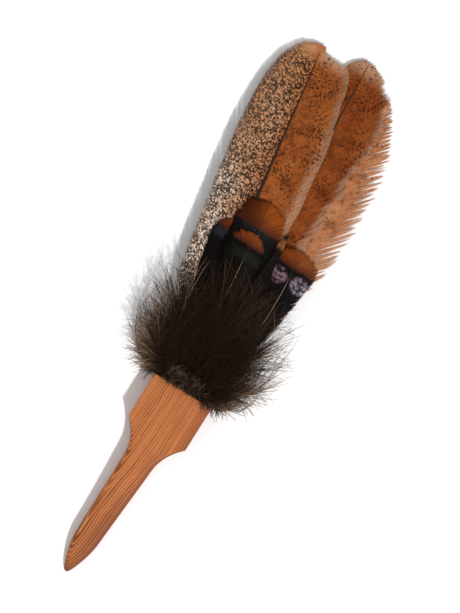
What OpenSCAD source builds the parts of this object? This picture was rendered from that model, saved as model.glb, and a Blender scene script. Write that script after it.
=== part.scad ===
// Hand-held feather duster: a flat wooden paddle handle whose mouth holds the glued and
// bound quills of three wing feathers, five short covert feathers and a ring of down plumes.
// It lies on its flat back. +Y runs from the grip towards the feather tips, +X is to the
// right seen from the front, +Z is up. The origin is the middle of the paddle's flat back.

/* [Handle] */
// Length of the whole wooden handle
handle_l = 167; // [150:1:190]
// Width of the paddle
paddle_w = 51; // [48:0.5:60]
// Length of the paddle, from its mouth to its square corners
paddle_l = 38; // [35:1:46]
// Thickness of the paddle
paddle_t = 18; // [17.5:0.5:22]
// Width of the grip where the shoulders run into it
grip_w = 24.6; // [22:0.2:30]
// Width of the grip where its tip begins
grip_end_w = 20.4; // [18:0.2:24]
// Thickness of the grip where its tip begins
grip_end_t = 12.5; // [10:0.5:16]
// Length of the shoulders, from the paddle's corners to the grip
shoulder_l = 32; // [26:1:40]
// Length of the rounded tip
tip_l = 36; // [28:1:44]
// How far the grip's end swings to the left of the paddle's middle
grip_swing = 2.9; // [0:0.1:5]

/* [Mortise] */
// Width of the pocket in the mouth that takes the quills
mortise_w = 39.2; // [38.8:0.1:42]
// Height of that pocket
mortise_h = 12.6; // [12.4:0.1:14]
// Depth of that pocket
mortise_d = 30; // [29:1:32]

/* [Long feathers] */
// How far the longest feather reaches out of the mouth
long_l = 290; // [240:1:330]
// Radius of a long feather's quill
long_quill_r = 2.2; // [1.8:0.1:2.4]
// Thickness of a long feather's vane
long_vane_t = 0.8; // [0.6:0.1:0.9]

/* [Coverts] */
// How far the longest covert reaches out of the mouth
covert_l = 156; // [140:1:165]
// Radius of a covert's quill
covert_quill_r = 0.9; // [0.7:0.05:0.95]
// Thickness of a covert's vane
covert_vane_t = 0.6; // [0.4:0.1:0.7]

/* [Down] */
// Length of the middle down plume
plume_l = 94; // [80:1:110]
// Greatest width of a down plume
plume_w = 28; // [20:1:30]
// Greatest thickness of a down plume
plume_t = 5; // [3:0.5:5.5]
// Radius of a down plume's quill
plume_quill_r = 0.65; // [0.5:0.05:0.7]

/* [Thread] */
// Diameter of the binding thread
thread_d = 0.8; // [0.6:0.1:0.8]
// Number of turns of thread round the quills
thread_turns = 8; // [4:1:9]

/* [Hidden] */

wood_colour = [0.78, 0.47, 0.27];
quill_colour = [0.20, 0.15, 0.12];
down_colour = [0.16, 0.12, 0.10];

mouth_y = paddle_l / 2;
mid_z = paddle_t / 2;

// Handle outline, measured from the mouth towards the grip.
shoulder_power = 2.4;
tip_start = handle_l - tip_l;
paddle_edge_r = 0.9;
grip_edge_r = 5;
min_tip_w = 2.4;
min_tip_t = 3;
handle_rings = 44;
corner_steps = 4;

// The quills' rows in the mouth, as heights above the flat back.
back_row_z = mid_z - 4.1;
long_row_z = mid_z - 0.6;
covert_row_z = mid_z + 2.6;
front_row_z = mid_z + 4.6;
long_quill_in = 28;
covert_quill_in = 20;
plume_quill_in = 17;
plume_xs = [-14, -7, 0, 7, 14];
side_plume_x = 17.5;
shaft_tip_r = 0.25;
shaft_sides = 10;
far = 400;

// The thread runs round the bundle just inside the mouth.
thread_first_y = -1.2;
thread_pitch = thread_d + 0.02;
glue_front_y = -9;
bundle_half_h = mortise_h / 2 - thread_d - 0.15;
bundle_half_straight = mortise_w / 2 - mortise_h / 2;

// A feather is [quill [x, z], bend [x, y], tip [x, y], tip height, arch,
//   vane start, left half-width rule, right half-width rule, quill radius, quill depth].
// The shaft is a smooth curve from the quill past the bend to the tip. A half-width rule is
// [at the start, pull in the middle, at the end, bluntness of the tip].
left_feather = [
    [-7.5, long_row_z], [-29, long_l * 0.48], [-50.5, long_l * 0.97], 4.6, 9, 50,
    [32, 38, 36, 9], [14, 48, 28, 60], long_quill_r, long_quill_in
];
middle_feather = [
    [0, long_row_z], [-5, long_l * 0.5], [-13, long_l], 2.8, 6.8, 50,
    [10, 30, 18, 20], [14, 36, 34, 14], long_quill_r, long_quill_in
];
right_feather = [
    [7.5, long_row_z], [11, long_l * 0.5], [13, long_l * 0.94], 1.2, 4.6, 45,
    [10, 28, 16, 12], [6, 59, 22, 7], long_quill_r, long_quill_in
];
upper_covert = [
    [-9, covert_row_z], [-15, covert_l * 0.5], [-20, covert_l], 18.6, 1.7, 64,
    [9, 24, 19, 22], [9, 24, 19, 26], covert_quill_r, covert_quill_in
];
lower_covert = [
    [-3.5, covert_row_z + 0.4], [-10, covert_l * 0.46], [-17, covert_l * 0.835], 20.2, 2, 64,
    [7, 22, 17, 16], [7, 18, 12, 16], covert_quill_r, covert_quill_in
];
outer_covert = [
    [-15, covert_row_z], [-27, covert_l * 0.38], [-37, covert_l * 0.84], 17.3, 1.4, 60,
    [6, 14, 13, 12], [6, 14, 12, 12], covert_quill_r, covert_quill_in
];
centre_covert = [
    [2.5, covert_row_z], [1, covert_l * 0.38], [4.5, covert_l * 0.92], 17.6, 1.5, 60,
    [5, 11, 3, 4], [5, 10, 3, 4], covert_quill_r, covert_quill_in
];
right_covert = [
    [9, covert_row_z], [32, covert_l * 0.385], [20, covert_l * 0.88], 16.7, 1.3, 62,
    [8, 18, 18, 24], [8, 13, 22, 28], covert_quill_r, covert_quill_in
];

// A plume is [quill [x, z], angle to the right, length, rise to its end, thickness].
plume_step = 26;
side_angle = 78;
front_rise = 13;
back_rise = -1.6;
side_l = 40;
function plume_reach(i) = plume_l * [0.57, 0.86, 1, 0.86, 0.57][i];
function front_plume(i) =
    [[plume_xs[i], front_row_z], (i - 2) * plume_step, plume_reach(i), front_rise, plume_t];
function back_plume(i) =
    [[plume_xs[i], back_row_z], (i - 2) * plume_step, plume_reach(i), back_rise, plume_t];
function side_plume(side) =
    [[side * side_plume_x, mid_z + 0.2], side * side_angle, side_l, 0, plume_t * 0.9];

function mix(a, b, t) = a + (b - a) * t;
function clamp01(t) = min(max(t, 0), 1);
function ease(t) = t * t * (3 - 2 * t);
function curve3(a, b, c, t) = a * (1 - t) ^ 2 + 2 * b * t * (1 - t) + c * t ^ 2;

// ---- Handle ----

// d is the distance from the mouth. The paddle is parallel, the shoulders sweep in
// concave to the grip, the grip narrows a little and ends in a blunt rounded tip.
function grip_half_w(d) =
    mix(grip_w, grip_end_w, clamp01((d - paddle_l - shoulder_l) / (tip_start - paddle_l - shoulder_l))) / 2;
function tip_fraction(d) = clamp01((d - tip_start) / tip_l);
function tip_shape(d, power) = max(1 - tip_fraction(d) ^ 2, 0) ^ power;
function tip_power(d) = mix(0.85, 0.55, tip_fraction(d) ^ 6);
function shoulder_fraction(d) = clamp01(1 - (d - paddle_l) / shoulder_l);
function handle_half_w(d) =
    max(mix(grip_half_w(d), paddle_w / 2, shoulder_fraction(d) ^ shoulder_power)
        * tip_shape(d, tip_power(d)), min_tip_w / 2);
function handle_t(d) =
    max(mix(paddle_t, grip_end_t, ease(clamp01((d - paddle_l) / (tip_start - paddle_l))))
        * tip_shape(d, 0.5), min_tip_t);
function handle_shift(d) = -grip_swing * ease(clamp01((d - paddle_l) / (handle_l - paddle_l)));
function handle_edge_r(d) =
    let (s = shoulder_fraction(d))
    min(mix(grip_edge_r, paddle_edge_r, s) + 5 * s * (1 - s), handle_t(d) * 0.45,
        handle_half_w(d) * 0.8);

// One cross-section, a rectangle with round corners standing on the flat back.
function corner(cx, cz, r, start) =
    [for (k = [0 : corner_steps]) [cx + r * cos(start + k * 90 / corner_steps),
                                   cz + r * sin(start + k * 90 / corner_steps)]];
function handle_section(d) =
    let (w = handle_half_w(d), t = handle_t(d), r = handle_edge_r(d), s = handle_shift(d))
    concat(corner(s + w - r, t - r, r, 0), corner(s - w + r, t - r, r, 90),
           corner(s - w + r, r, r, 180), corner(s + w - r, r, r, 270));

// Rings lie close together at the shoulders and at the tip.
function ring_place(k) =
    let (u = k / handle_rings)
    u < 0.5 ? mix(paddle_l, paddle_l + shoulder_l, u / 0.5)
            : mix(paddle_l + shoulder_l, handle_l, sin(90 * (u - 0.5) / 0.5));

module loft(sections) {
    count = len(sections[0]);
    last = (len(sections) - 1) * count;
    sides = [for (i = [0 : len(sections) - 2]) for (j = [0 : count - 1])
        [i * count + j, i * count + (j + 1) % count,
         (i + 1) * count + (j + 1) % count, (i + 1) * count + j]];
    polyhedron(
        points = [for (s = sections) each s],
        faces = concat([[for (j = [count - 1 : -1 : 0]) j]], sides,
                       [[for (j = [0 : count - 1]) last + j]])
    );
}

module mortise_shape() {
    for (side = [-1, 1])
        translate([side * (mortise_w - mortise_h) / 2, 0])
            circle(d = mortise_h, $fn = 64);
    square([mortise_w - mortise_h, mortise_h], center = true);
}

// Turns an outline drawn in X and Z into a bar along +Y that starts at y = from.
module bar(from, length) {
    translate([0, from + length, 0])
        rotate([90, 0, 0])
            linear_extrude(length)
                children();
}

module mortise(from, length) {
    bar(from, length)
        translate([0, mid_z])
            mortise_shape();
}

module handle() {
    places = concat([0], [for (k = [0 : handle_rings]) ring_place(k)]);
    color(wood_colour)
        difference() {
            loft([for (d = places) [for (p = handle_section(d)) [p[0], mouth_y - d, p[1]]]]);
            translate([0, mouth_y, 0])
                mortise(-mortise_d, mortise_d + 1);
        }
}

// ---- What holds the quills ----

module quill_hole(x, z, r, depth) {
    translate([x, 0, z])
        rotate([90, 0, 0])
            cylinder(r = r, h = depth, $fn = 32);
}

module feather_quill_hole(f) {
    quill_hole(f[0][0], f[0][1], f[8], f[9]);
}

module quill_glue() {
    color([0.85, 0.72, 0.42])
        translate([0, mouth_y, 0])
            difference() {
                mortise(-mortise_d, mortise_d + glue_front_y);
                for (f = [left_feather, middle_feather, right_feather, upper_covert,
                          lower_covert, outer_covert, centre_covert, right_covert])
                    feather_quill_hole(f);
                for (x = plume_xs, z = [front_row_z, back_row_z])
                    quill_hole(x, z, plume_quill_r, plume_quill_in);
                for (side = [-1, 1])
                    quill_hole(side * side_plume_x, mid_z + 0.2, plume_quill_r, plume_quill_in);
            }
}

// One turn of thread is a flat loop: two straight runs joined by two half rings.
module thread_turn() {
    ring_r = bundle_half_h + thread_d / 2;
    for (side = [-1, 1]) {
        translate([side * bundle_half_straight, 0, 0])
            rotate([90, 0, 0])
                rotate([0, 0, side * -90])
                    rotate_extrude(angle = 180, $fn = 48)
                        translate([ring_r, 0])
                            circle(d = thread_d, $fn = 24);
        translate([-bundle_half_straight, 0, side * ring_r])
            rotate([0, 90, 0])
                cylinder(d = thread_d, h = 2 * bundle_half_straight, $fn = 24);
    }
}

module binding_thread() {
    color([0.32, 0.22, 0.14])
        for (turn = [0 : thread_turns - 1])
            translate([0, mouth_y + thread_first_y - turn * thread_pitch, mid_z])
                thread_turn();
}

// ---- Feathers ----

function shaft_x(f, t) = curve3(f[0][0], f[1][0], f[2][0], t);
function shaft_y(f, t) = curve3(0, f[1][1], f[2][1], t);
function shaft_z(f, y) =
    let (s = clamp01(y / f[2][1]))
    mix(f[0][1], f[3], s) + 4 * f[4] * s * (1 - s);
function shaft_r(f, t) = (f[8] - shaft_tip_r) * (1 - t) ^ 0.85 + shaft_tip_r;
function start_fraction(f) =
    let (a = f[2][1] - 2 * f[1][1], b = 2 * f[1][1])
    abs(a) < 0.01 ? f[5] / b : (sqrt(b * b + 4 * a * f[5]) - b) / (2 * a);

feather_steps = 22;
function vane_fraction(f, k) = mix(start_fraction(f), 1, sin(90 * k / feather_steps));
function vane_half_w(rule, u) =
    curve3(rule[0], rule[1], rule[2], u) * sqrt(max(1 - u ^ rule[3], 0));

function shaft_ring(x, y, z, r) =
    [for (j = [0 : shaft_sides - 1])
        [x + r * cos(j * 360 / shaft_sides), y, z + r * sin(j * 360 / shaft_sides)]];

module feather_shaft(f) {
    first = start_fraction(f);
    bare = [for (k = [0 : 3]) first * k / 4];
    vaned = [for (k = [0 : feather_steps]) vane_fraction(f, k)];
    color(quill_colour)
        translate([0, mouth_y, 0])
            loft(concat(
                [shaft_ring(f[0][0], -f[9], f[0][1], f[8])],
                [for (t = concat(bare, vaned))
                    shaft_ring(shaft_x(f, t), shaft_y(f, t), shaft_z(f, shaft_y(f, t)),
                               shaft_r(f, t))]
            ));
}

// A curved sheet of even thickness over the shaft's whole length, as wide as needed.
module arched_sheet(f, thickness) {
    steps = 32;
    ys = [for (k = [0 : steps]) f[2][1] * k / steps];
    rotate([90, 0, 90])
        linear_extrude(far, center = true)
            polygon(concat(
                [for (y = ys) [y, shaft_z(f, y) - thickness / 2]],
                [for (k = [steps : -1 : 0]) [ys[k], shaft_z(f, ys[k]) + thickness / 2]]
            ));
}

// side is -1 for the left vane and 1 for the right one.
module feather_vane(f, side, thickness) {
    rule = side < 0 ? f[6] : f[7];
    first = start_fraction(f);
    ts = [for (k = [0 : feather_steps]) vane_fraction(f, k)];
    inner = [for (t = ts) [shaft_x(f, t) + side * shaft_r(f, t), shaft_y(f, t)]];
    outer = [for (k = [feather_steps : -1 : 0])
        let (t = ts[k], u = (t - first) / (1 - first))
        [shaft_x(f, t) + side * (shaft_r(f, t) + vane_half_w(rule, u)), shaft_y(f, t)]];
    translate([0, mouth_y, 0])
        intersection() {
            linear_extrude(far)
                polygon(concat(inner, outer));
            arched_sheet(f, thickness);
        }
}

module long_vane(f, side, vane_colour) {
    color(vane_colour)
        feather_vane(f, side, long_vane_t);
}

module covert_vane(f, vane_colour) {
    color(vane_colour)
        for (side = [-1, 1])
            feather_vane(f, side, covert_vane_t);
}

// ---- Down ----

plume_steps = 18;
// The leaf grows out of a root a little thicker than the quill.
plume_root = plume_quill_r * 1.4;
function plume_half_w(u) = plume_root + (plume_w / 2 - plume_root) * sin(180 * u ^ 0.8) ^ 0.9;
function plume_z(p, u) = p[0][1] + p[3] * (1 - (1 - u) ^ 2);
function plume_half_t(p, u) = plume_root + (p[4] / 2 - plume_root) * sin(180 * u);

// A plume is a quill and a soft leaf that leans out from the mouth and curls over.
module plume(p) {
    us = [for (k = [0 : plume_steps]) k / plume_steps];
    back_us = [for (k = [plume_steps : -1 : 0]) k / plume_steps];
    color(down_colour)
        translate([p[0][0], mouth_y, 0]) {
            translate([0, 1.5, p[0][1]])
                rotate([90, 0, 0])
                    cylinder(r = plume_quill_r, h = plume_quill_in + 1.5, $fn = 24);
            translate([0, 1, 0])
                rotate([0, 0, -p[1]])
                    intersection() {
                        linear_extrude(far)
                            polygon(concat(
                                [for (u = us) [plume_half_w(u), u * p[2]]],
                                [for (u = back_us) [-plume_half_w(u), u * p[2]]]
                            ));
                        rotate([90, 0, 90])
                            linear_extrude(far, center = true)
                                polygon(concat(
                                    [for (u = us) [u * p[2], plume_z(p, u) - plume_half_t(p, u)]],
                                    [for (u = back_us) [u * p[2], plume_z(p, u) + plume_half_t(p, u)]]
                                ));
                    }
        }
}

mottled = [0.72, 0.60, 0.47];
rufous = [0.66, 0.36, 0.18];
pale_rufous = [0.72, 0.46, 0.30];
copper = [0.46, 0.22, 0.08];
black_green = [0.10, 0.11, 0.10];

handle();
quill_glue();
binding_thread();
feather_shaft(left_feather);  // left_feather_shaft
long_vane(left_feather, -1, mottled);  // left_feather_left_vane
long_vane(left_feather, 1, rufous);  // left_feather_right_vane
feather_shaft(middle_feather);  // middle_feather_shaft
long_vane(middle_feather, -1, rufous);  // middle_feather_left_vane
long_vane(middle_feather, 1, rufous);  // middle_feather_right_vane
feather_shaft(right_feather);  // right_feather_shaft
long_vane(right_feather, -1, pale_rufous);  // right_feather_left_vane
long_vane(right_feather, 1, pale_rufous);  // right_feather_right_vane
feather_shaft(upper_covert);  // upper_covert_shaft
covert_vane(upper_covert, copper);  // upper_covert_vane
feather_shaft(lower_covert);  // lower_covert_shaft
covert_vane(lower_covert, copper);  // lower_covert_vane
feather_shaft(outer_covert);  // outer_covert_shaft
covert_vane(outer_covert, black_green);  // outer_covert_vane
feather_shaft(centre_covert);  // centre_covert_shaft
covert_vane(centre_covert, black_green);  // centre_covert_vane
feather_shaft(right_covert);  // right_covert_shaft
covert_vane(right_covert, copper);  // right_covert_vane
for (i = [0 : 4]) plume(front_plume(i));
for (i = [0 : 4]) plume(back_plume(i));
plume(side_plume(-1));  // side_plume_left
plume(side_plume(1));  // side_plume_right
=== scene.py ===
import math
from dataclasses import dataclass

import bpy
import numpy as np
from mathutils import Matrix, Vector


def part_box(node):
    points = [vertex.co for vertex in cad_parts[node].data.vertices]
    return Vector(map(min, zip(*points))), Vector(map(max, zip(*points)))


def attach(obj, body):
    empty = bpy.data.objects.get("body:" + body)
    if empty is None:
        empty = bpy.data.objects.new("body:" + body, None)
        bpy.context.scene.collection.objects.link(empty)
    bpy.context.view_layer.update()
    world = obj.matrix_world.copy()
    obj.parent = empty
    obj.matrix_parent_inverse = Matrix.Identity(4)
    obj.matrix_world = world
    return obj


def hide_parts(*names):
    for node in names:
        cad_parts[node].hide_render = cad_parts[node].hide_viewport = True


# A feather duster that lies on its flat back on a pale surface. Feather numbers below are in
# millimetres from the middle of the handle's mouth, as in the CAD design: x to the right,
# y towards the tips, z above the surface.
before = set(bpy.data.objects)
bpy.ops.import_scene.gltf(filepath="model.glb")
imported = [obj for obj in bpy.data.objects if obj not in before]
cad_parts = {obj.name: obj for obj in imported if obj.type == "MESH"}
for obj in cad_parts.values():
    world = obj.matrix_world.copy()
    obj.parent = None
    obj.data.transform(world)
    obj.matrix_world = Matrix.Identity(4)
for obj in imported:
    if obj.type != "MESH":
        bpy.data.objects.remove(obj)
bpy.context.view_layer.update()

MM = 0.001
UP = np.array([0.0, 0.0, 1.0])

handle_low, handle_high = (np.array(corner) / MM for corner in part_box("handle"))
MOUTH_Y = handle_high[1]
PADDLE_T = handle_high[2]
PADDLE_W = handle_high[0] - handle_low[0]
HANDLE_L = handle_high[1] - handle_low[1]
MID_Z = PADDLE_T / 2


def reach(node):
    """How far a CAD node reaches out of the mouth, in millimetres."""
    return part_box(node)[1][1] / MM - MOUTH_Y


def random_source(name):
    """Random numbers that depend only on a piece's name."""
    return np.random.default_rng(sum(ord(letter) * (i + 7) for i, letter in enumerate(name)))


def mix(a, b, t):
    return a + (b - a) * t


def ease(t):
    t = np.clip(t, 0, 1)
    return t * t * (3 - 2 * t)


def curve3(a, b, c, t):
    return a * (1 - t) ** 2 + 2 * b * t * (1 - t) + c * t ** 2


# ---- Meshes ----

def new_piece(name, node, points, faces, material):
    """A mesh piece in place of a CAD node. points are in mm from the mouth; faces is a list of arrays."""
    mesh = bpy.data.meshes.new(name)
    points = np.asarray(points, dtype=np.float64) * MM
    points[:, 1] += MOUTH_Y * MM
    corners = np.concatenate([face.ravel() for face in faces]).astype(np.int32)
    sizes = np.concatenate([np.full(len(face), face.shape[1]) for face in faces]).astype(np.int32)
    starts = np.concatenate([[0], np.cumsum(sizes)[:-1]]).astype(np.int32)
    mesh.vertices.add(len(points))
    mesh.vertices.foreach_set("co", points.ravel())
    mesh.loops.add(len(corners))
    mesh.loops.foreach_set("vertex_index", corners)
    mesh.polygons.add(len(sizes))
    mesh.polygons.foreach_set("loop_start", starts)
    mesh.polygons.foreach_set("loop_total", sizes)
    mesh.update(calc_edges=True)
    mesh.polygons.foreach_set("use_smooth", np.full(len(sizes), True))
    mesh.materials.append(material)
    piece = bpy.data.objects.new(name, mesh)
    bpy.context.scene.collection.objects.link(piece)
    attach(piece, "root")
    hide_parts(node)
    return piece


def add_attribute(piece, name, values):
    attribute = piece.data.attributes.new(name, "FLOAT_VECTOR", "POINT")
    attribute.data.foreach_set("vector", np.asarray(values, dtype=np.float32).ravel())


def add_bake_map(piece, uv):
    """The texture map to bake into, one place for each face corner."""
    layer = piece.data.uv_layers.new(name="OFBake")
    layer.uv.foreach_set("vector", np.asarray(uv, dtype=np.float32).ravel())


def add_flat_bake_map(piece):
    """A bake map that looks straight down on the piece."""
    count = len(piece.data.vertices)
    places = np.empty(count * 3)
    piece.data.vertices.foreach_get("co", places)
    flat = places.reshape(count, 3)[:, :2]
    low = flat.min(axis=0)
    flat = 0.01 + 0.98 * (flat - low) / (flat.max(axis=0) - low)
    corners = np.empty(len(piece.data.loops), dtype=np.int32)
    piece.data.loops.foreach_get("vertex_index", corners)
    add_bake_map(piece, flat[corners])


def blades(paths, widths, heights, roll=0.0):
    """A closed three-sided blade along each path. paths is (blades, points, 3); widths and heights
    fit (blades, points). Returns the corner points and the faces."""
    count, length = paths.shape[:2]
    along = np.gradient(paths, axis=1)
    along /= np.linalg.norm(along, axis=2, keepdims=True) + 1e-9
    across = np.cross(along, UP)
    across /= np.linalg.norm(across, axis=2, keepdims=True) + 1e-9
    over = np.cross(across, along)
    corners = []
    for a, b in ((-1, -0.5), (1, -0.5), (0, 1)):
        sideways = a * math.cos(roll) * widths / 2 - b * math.sin(roll) * heights / 2
        upwards = a * math.sin(roll) * widths / 2 + b * math.cos(roll) * heights / 2
        corners.append(paths + across * sideways[..., None] + over * upwards[..., None])
    points = np.stack(corners, axis=2).reshape(-1, 3)
    index = np.arange(count * length * 3).reshape(count, length, 3)
    sides = []
    for k in range(3):
        n = (k + 1) % 3
        around = [index[:, :-1, k], index[:, 1:, k], index[:, 1:, n], index[:, :-1, n]]
        sides.append(np.stack(around, axis=-1))
    quads = np.stack(sides, axis=2).reshape(-1, 4)
    ends = np.stack([index[:, 0, :], index[:, -1, ::-1]], axis=1).reshape(-1, 3)
    return points, [quads, ends]


def tube(rings):
    """Faces for a closed tube of equal rings that turn anticlockwise seen from the tube's end."""
    count, sides = rings
    index = np.arange(count * sides).reshape(count, sides)
    ahead = np.roll(index, -1, axis=1)
    quads = np.stack([index[:-1], ahead[:-1], ahead[1:], index[1:]], axis=-1).reshape(-1, 4)
    return [quads, index[:1, ::-1], index[-1:]]


# ---- Materials ----

def rgb(red, green, blue):
    """A screen colour, 0 to 255, as the linear colour that Blender's nodes take."""
    values = []
    for level in (red, green, blue):
        level /= 255
        values.append(level / 12.92 if level <= 0.04045 else ((level + 0.055) / 1.055) ** 2.4)
    return (*values, 1.0)


def paint_mid(a, b):
    return tuple((p + q) / 2 for p, q in zip(a, b))


class Paint:
    """A material with a Principled shader, and short ways to add the nodes that feed it."""

    def __init__(self, name, roughness=0.5, **plain):
        self.material = bpy.data.materials.new(name)
        self.material.use_nodes = True
        self.tree = self.material.node_tree
        self.shader = self.tree.nodes["Principled BSDF"]
        self.shader.inputs["Roughness"].default_value = roughness
        for socket, value in plain.items():
            self.shader.inputs[socket.replace("_", " ")].default_value = value

    def put(self, socket, value):
        if isinstance(value, bpy.types.NodeSocket):
            self.tree.links.new(value, socket)
        elif value is not None:
            socket.default_value = value

    def node(self, kind, *values, **settings):
        made = self.tree.nodes.new(kind)
        for key, value in settings.items():
            setattr(made, key, value)
        for socket, value in zip(made.inputs, values):
            self.put(socket, value)
        return made

    def maths(self, operation, a, b=None, c=None):
        return self.node("ShaderNodeMath", a, b, c, operation=operation).outputs[0]

    def attribute(self, name):
        """The three numbers of an attribute, as sockets."""
        vector = self.node("ShaderNodeAttribute", attribute_name=name).outputs["Vector"]
        return self.node("ShaderNodeSeparateXYZ", vector).outputs[:3]

    def place(self):
        """The point's own place in the object, in millimetres, as three sockets."""
        vector = self.node("ShaderNodeTexCoord").outputs["Object"]
        axes = self.node("ShaderNodeSeparateXYZ", vector).outputs[:3]
        return [self.maths("DIVIDE", axis, MM) for axis in axes]

    def vector(self, x, y, z=0.0):
        return self.node("ShaderNodeCombineXYZ", x, y, z).outputs[0]

    def noise(self, x, y, z=0.0, scale=1.0, detail=2.0, rough=0.5, distortion=0.0):
        made = self.node("ShaderNodeTexNoise")
        self.put(made.inputs["Vector"], self.vector(x, y, z))
        for key, value in (("Scale", scale), ("Detail", detail), ("Roughness", rough),
                           ("Distortion", distortion)):
            made.inputs[key].default_value = value
        return made.outputs["Fac"]

    def span(self, value, low, high, from_value=0.0, to_value=1.0):
        """from_value where value is under low, to_value over high, and smooth between."""
        made = self.node("ShaderNodeMapRange", interpolation_type="SMOOTHSTEP")
        for key, given in (("Value", value), ("From Min", low), ("From Max", high),
                           ("To Min", from_value), ("To Max", to_value)):
            self.put(made.inputs[key], given)
        return made.outputs[0]

    def band(self, value, low, high, soft):
        """1 where value lies between low and high."""
        return self.maths("MULTIPLY", self.span(value, low - soft, low + soft),
                          self.span(value, high - soft, high + soft, 1.0, 0.0))

    def blend(self, amount, a, b, mode="MIX"):
        made = self.node("ShaderNodeMix", data_type="RGBA", blend_type=mode)
        self.put(made.inputs["Factor"], amount)
        self.put(made.inputs[6], a)
        self.put(made.inputs[7], b)
        return made.outputs[2]

    def ramp(self, value, *stops):
        """A colour ramp. stops are (place, colour) pairs."""
        made = self.node("ShaderNodeValToRGB", value)
        elements = made.color_ramp.elements
        while len(elements) < len(stops):
            elements.new(0.5)
        for element, (place, colour) in zip(elements, stops):
            element.position = place
            element.color = colour
        return made.outputs["Color"]

    def finish(self, colour, roughness=None, height=None, depth=0.0002, strength=0.5):
        self.put(self.shader.inputs["Base Color"], colour)
        if roughness is not None:
            self.put(self.shader.inputs["Roughness"], roughness)
        if height is not None:
            bump = self.node("ShaderNodeBump")
            bump.inputs["Strength"].default_value = strength
            bump.inputs["Distance"].default_value = depth
            self.put(bump.inputs["Height"], height)
            self.put(self.shader.inputs["Normal"], bump.outputs["Normal"])
        return self.material


def oiled_wood():
    """Softwood whose growth rings lean across the handle, so they show as straight lines on the
    paddle and as nested loops where the round grip cuts them."""
    paint = Paint("oiled_wood", Specular_IOR_Level=0.22)
    x, y, z = paint.place()
    drift = paint.noise(x, paint.maths("MULTIPLY", y, 0.75), z, scale=0.03, detail=1.5)
    wobble = paint.noise(x, paint.maths("MULTIPLY", y, 0.1), z, scale=0.3, detail=2)
    tilt = paint.maths("MULTIPLY_ADD", x, -0.62, paint.maths("MULTIPLY", z, 0.78))
    tilt = paint.maths("MULTIPLY_ADD", y, 0.008, tilt)
    tilt = paint.maths("MULTIPLY_ADD", drift, 4.5, tilt)
    tilt = paint.maths("MULTIPLY_ADD", wobble, 0.6, tilt)
    ring = paint.maths("FRACT", paint.maths("DIVIDE", tilt, 1.2))
    tone = paint.noise(tilt, paint.maths("MULTIPLY", y, 0.01), 0.0, scale=0.35, detail=1)
    late = paint.maths("MULTIPLY", paint.span(ring, 0.12, 0.62), paint.span(ring, 0.84, 0.98, 1.0, 0.0))
    late = paint.maths("MULTIPLY", late, paint.span(tone, 0.35, 0.6, 0.3, 1.0))
    late = paint.maths("MULTIPLY", late, paint.span(y, -60, -10, 1.0, 0.75))
    colour = paint.ramp(late, (0.0, rgb(199, 122, 68)), (0.4, rgb(175, 100, 51)), (1.0, rgb(122, 60, 25)))
    early = paint.maths("MULTIPLY", paint.span(ring, 0.02, 0.08), paint.span(ring, 0.1, 0.2, 1.0, 0.0))
    early = paint.maths("MULTIPLY", early, paint.span(y, -130, -50, 0.75, 0.2))
    fibre = paint.noise(x, paint.maths("MULTIPLY", y, 0.05), z, scale=2.8, detail=4, rough=0.7)
    colour = paint.blend(paint.span(fibre, 0.35, 0.7, 0.0, 0.45), colour, rgb(138, 72, 34))
    stain = paint.noise(x, paint.maths("MULTIPLY", y, 0.5), z, scale=0.06, detail=2)
    colour = paint.blend(paint.span(stain, 0.46, 0.7, 0.0, 0.35), colour, rgb(138, 72, 34))
    aged = paint.maths("MULTIPLY", paint.span(y, -150, -45, 0.9, 0.0), paint.span(x, -10, 8, 0.45, 1.0))
    aged = paint.maths("MAXIMUM", aged, paint.span(x, 17, 25, 0.0, 0.55))
    colour = paint.blend(aged, colour, rgb(122, 62, 26))
    early = paint.maths("MULTIPLY", early, paint.span(x, -4, 10, 1.0, 0.2))
    colour = paint.blend(early, colour, rgb(226, 156, 102))
    normal = paint.node("ShaderNodeNewGeometry").outputs["Normal"]
    turned = paint.node("ShaderNodeSeparateXYZ", normal).outputs
    colour = paint.blend(paint.span(turned[0], 0.1, 0.8, 0.0, 0.65), colour, rgb(104, 50, 22))
    facing = paint.maths("ABSOLUTE", turned[1])
    colour = paint.blend(paint.span(facing, 0.3, 0.8, 0.0, 0.8), colour, rgb(84, 42, 22))
    rough = paint.span(fibre, 0.3, 0.7, 0.46, 0.6)
    height = paint.maths("MULTIPLY_ADD", late, -0.4, fibre)
    return paint.finish(colour, rough, height, depth=0.00012, strength=0.35)


def set_glue():
    paint = Paint("set_glue", 0.3)
    x, y, z = paint.place()
    cloud = paint.noise(x, y, z, scale=0.4, detail=3)
    return paint.finish(paint.ramp(cloud, (0.3, rgb(150, 98, 40)), (0.7, rgb(205, 158, 88))),
                        paint.span(cloud, 0.3, 0.7, 0.22, 0.4), cloud)


def waxed_thread():
    """Two-ply thread: the plies show as fine slanting stripes."""
    paint = Paint("waxed_thread", 0.55)
    x, y, z = paint.place()
    slant = paint.maths("ADD", x, paint.maths("ADD", paint.maths("MULTIPLY", y, 1.6), z))
    ply = paint.maths("PINGPONG", slant, 0.45)
    fluff = paint.noise(x, y, z, scale=5, detail=3)
    colour = paint.blend(fluff, rgb(74, 48, 30), rgb(118, 82, 54))
    return paint.finish(paint.blend(paint.span(ply, 0.0, 0.2, 0.7, 0.0), colour, rgb(36, 22, 14)),
                        paint.span(fluff, 0.3, 0.7, 0.48, 0.66), ply)


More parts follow.
